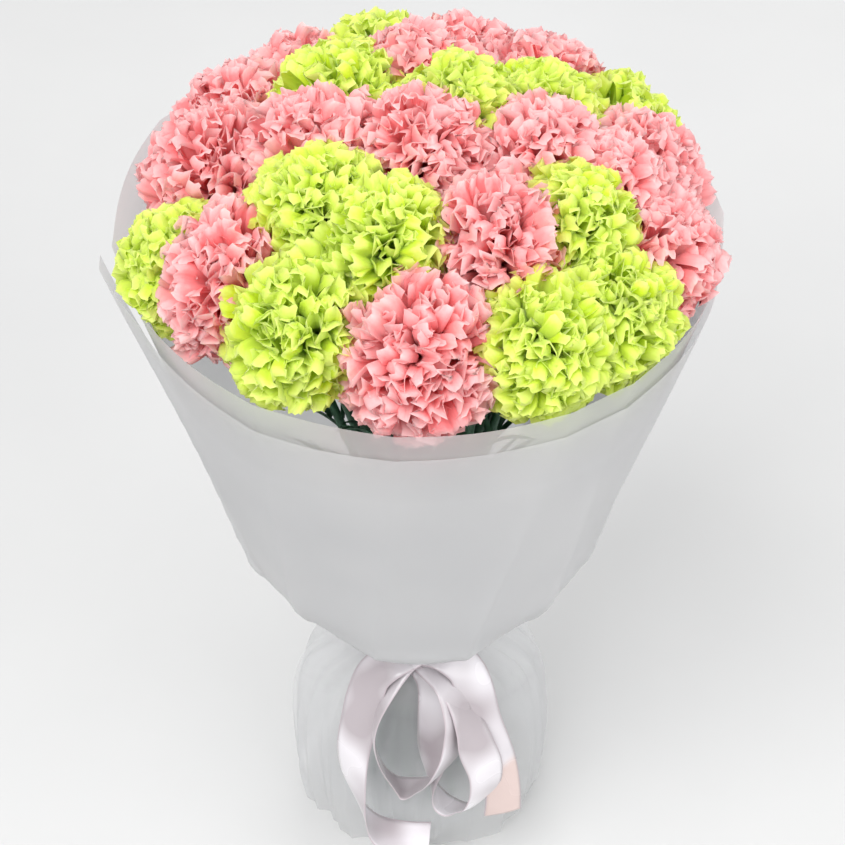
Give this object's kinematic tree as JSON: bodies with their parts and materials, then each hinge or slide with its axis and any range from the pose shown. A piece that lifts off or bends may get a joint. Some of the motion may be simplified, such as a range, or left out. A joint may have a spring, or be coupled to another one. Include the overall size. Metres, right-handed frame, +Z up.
{
  "type": "bunch of carnations",
  "caption": "Hand-tied bunch of pink and lime-green carnations in a frosted film wrap tied with satin ribbon, standing upright on its own cut stems",
  "frame": {"origin": "on the surface that the bunch stands on, at the centre of its middle stem's cut end", "axes": "+Z up along the middle stem, -Y the front where the ribbon is tied, +X to the right of someone who looks at the front"},
  "size_m": [0.3128, 0.3134, 0.5546],
  "materials": {
    "pink_petals": "thin matte ruffled petals, coral pink in the folds and pale pink at the toothed edges",
    "green_petals": "thin matte ruffled petals, lime green with paler toothed edges",
    "stems": "smooth waxy blue-green stems, calyces and leaves",
    "frosted_film": "frosted translucent wrapping film with a soft sheen",
    "clear_film": "crinkled clear film, glossy",
    "cord": "twisted plant-fibre binding cord",
    "satin": "silvery pink satin ribbon, glossy along its length"
  },
  "bodies": {
    "root": {"bloom_pink_01": "pink_petals", "stem_pink_01": "stems", "bloom_green_01": "green_petals", "stem_green_01": "stems", "bloom_green_02": "green_petals", "stem_green_02": "stems", "bloom_pink_02": "pink_petals", "stem_pink_02": "stems", "bloom_pink_03": "pink_petals", "stem_pink_03": "stems", "bloom_green_03": "green_petals", "stem_green_03": "stems", "bloom_pink_04": "pink_petals", "stem_pink_04": "stems", "bloom_pink_05": "pink_petals", "stem_pink_05": "stems", "bloom_green_04": "green_petals", "stem_green_04": "stems", "bloom_pink_06": "pink_petals", "stem_pink_06": "stems", "bloom_pink_07": "pink_petals", "stem_pink_07": "stems", "bloom_pink_08": "pink_petals", "stem_pink_08": "stems", "bloom_green_05": "green_petals", "stem_green_05": "stems", "bloom_pink_09": "pink_petals", "stem_pink_09": "stems", "bloom_green_06": "green_petals", "stem_green_06": "stems", "bloom_pink_10": "pink_petals", "stem_pink_10": "stems", "bloom_green_07": "green_petals", "stem_green_07": "stems", "bloom_pink_11": "pink_petals", "stem_pink_11": "stems", "bloom_pink_12": "pink_petals", "stem_pink_12": "stems", "bloom_green_08": "green_petals", "stem_green_08": "stems", "bloom_pink_13": "pink_petals", "stem_pink_13": "stems", "bloom_green_09": "green_petals", "stem_green_09": "stems", "bloom_pink_14": "pink_petals", "stem_pink_14": "stems", "bloom_green_10": "green_petals", "stem_green_10": "stems", "bloom_green_11": "green_petals", "stem_green_11": "stems", "bloom_pink_15": "pink_petals", "stem_pink_15": "stems", "bloom_green_12": "green_petals", "stem_green_12": "stems", "binding_cord": "cord", "stem_sleeve": "clear_film", "inner_wrap": "frosted_film", "outer_wrap": "frosted_film", "ribbon": "satin"}
  },
  "joints": []
}
